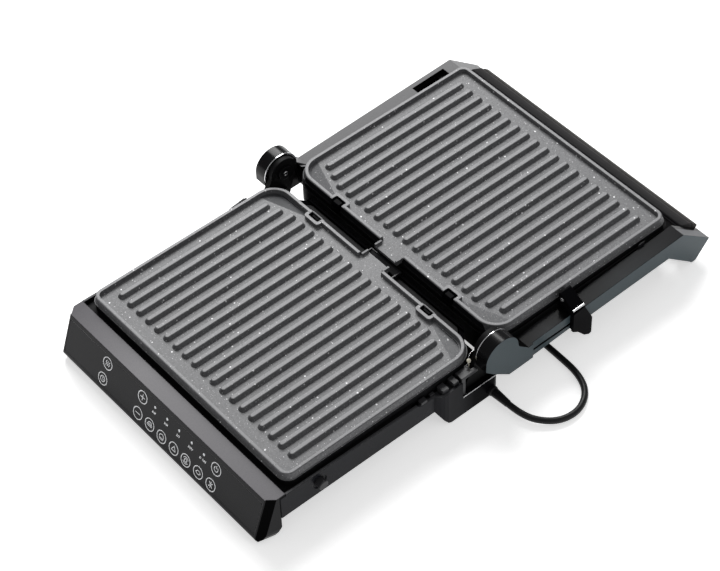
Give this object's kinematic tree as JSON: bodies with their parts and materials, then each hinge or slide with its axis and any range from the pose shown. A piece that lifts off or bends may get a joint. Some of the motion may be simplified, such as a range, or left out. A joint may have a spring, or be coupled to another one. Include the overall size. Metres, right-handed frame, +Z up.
{
  "type": "contact grill",
  "caption": "Open-flat electric contact grill: two ribbed cast plates either side of a rear hinge, touch console in front, lid on side arms with a grab bar, height clip, drip tray and mains cord",
  "frame": {"origin": "on the table under the hinge axis, midway between the arms, so x = 0 is the middle, y = 0 is below the hinge axis and z = 0 is the table", "axes": "+X to the user's right along the hinge, +Y away from the user from the console over the opened lid, +Z up"},
  "size_m": [0.3986, 0.5519, 0.081],
  "materials": {
    "plate_coating": "cast aluminium plate with a grey speckled non-stick coating, satin",
    "housing_black": "moulded black plastic, satin",
    "console_top": "moulded grey-black plastic, satin",
    "touch_panel": "gloss black printed touch glass",
    "arm_slate": "slate grey satin coating on the arms",
    "chrome_trim": "polished chrome rings",
    "steel": "bright steel pins and screws",
    "reflector_sheet": "aluminised sheet",
    "element_steel": "sheathed heating element",
    "ceramic": "cream ceramic",
    "board_green": "printed circuit board",
    "cord_black": "black cord jacket, strain relief and plug",
    "rubber_black": "rubber feet and pads",
    "brass": "brass pins and terminals"
  },
  "bodies": {
    "base": {"base_housing": "housing_black", "rubber_feet": "rubber_black", "console_shell": "console_top", "touch_glass": "touch_panel", "touch_board": "board_green", "indicator_leds": "board_green", "base_top_frame": "housing_black", "base_screws": "steel", "lower_hooks": "housing_black", "lower_reflector": "reflector_sheet", "lower_heater": "element_steel", "lower_heater_clips": "element_steel", "lower_sensor": "reflector_sheet", "thermal_fuse": "ceramic", "power_board": "board_green", "power_board_parts": "board_green", "terminal_block": "housing_black", "drain_chute": "housing_black", "lower_release_guide": "housing_black", "hinge_post_right": "housing_black", "hinge_post_left": "housing_black", "height_rack": "housing_black", "rack_shelf": "housing_black", "ceramic_bead": "ceramic", "strain_relief": "cord_black", "power_cord": "cord_black", "cord_coil": "cord_black", "mains_plug": "cord_black", "plug_pins": "brass"},
    "lower_plate_body": {"lower_plate": "plate_coating"},
    "tray": {"drip_tray": "housing_black"},
    "lower_release": {"lower_release_button": "housing_black", "lower_release_spring": "steel"},
    "lid": {"arm_right": "arm_slate", "arm_left": "arm_slate", "arm_covers": "housing_black", "hinge_pin_right": "steel", "hinge_pin_left": "steel", "hub_ring_right": "chrome_trim", "hub_ring_left": "chrome_trim", "float_pins": "steel", "handle_bar": "housing_black", "handle_end_plugs": "housing_black", "handle_screws": "steel", "lid_rest_pads": "rubber_black"},
    "clip": {"height_clip": "housing_black", "clip_pin": "steel", "clip_screw": "steel"},
    "head": {"upper_housing": "housing_black", "upper_frame": "housing_black", "upper_frame_screws": "steel", "upper_hooks": "housing_black", "upper_reflector": "reflector_sheet", "upper_heater": "element_steel", "upper_heater_clips": "element_steel", "upper_sensor": "reflector_sheet", "upper_release_spring": "steel", "upper_release_stop": "housing_black"},
    "upper_release": {"upper_release_tab": "housing_black"},
    "upper_plate_body": {"upper_plate": "plate_coating"}
  },
  "joints": [
    {"name": "lid_hinge", "type": "hinge", "parent": "base", "child": "lid", "pos_m": [0, 0, 0.06325], "axis": [1, 0, 0], "range_deg": [0, 180]},
    {"name": "head_float", "type": "hinge", "parent": "lid", "child": "head", "pos_m": [0, 0.13, 0.038], "axis": [1, 0, 0], "range_deg": [-4, 0]},
    {"name": "height_clip_slide", "type": "slide", "parent": "lid", "child": "clip", "axis": [0, 1, 0], "range_m": [-0.035, 0]},
    {"name": "lower_plate_lift", "type": "slide", "parent": "base", "child": "lower_plate_body", "axis": [0, 0, -1], "range_m": [-0.03, 0]},
    {"name": "upper_plate_lift", "type": "slide", "parent": "head", "child": "upper_plate_body", "axis": [0, 0, -1], "range_m": [-0.03, 0]},
    {"name": "tray_slide", "type": "slide", "parent": "base", "child": "tray", "axis": [0, 1, 0], "range_m": [0, 0.055]},
    {"name": "lower_release_press", "type": "slide", "parent": "base", "child": "lower_release", "axis": [-1, 0, 0], "range_m": [0, 0.003], "stiffness_N_per_m": 900, "springref_m": -0.002},
    {"name": "upper_release_press", "type": "slide", "parent": "head", "child": "upper_release", "axis": [0, -1, 0], "range_m": [0, 0.004], "stiffness_N_per_m": 600, "springref_m": -0.002}
  ]
}
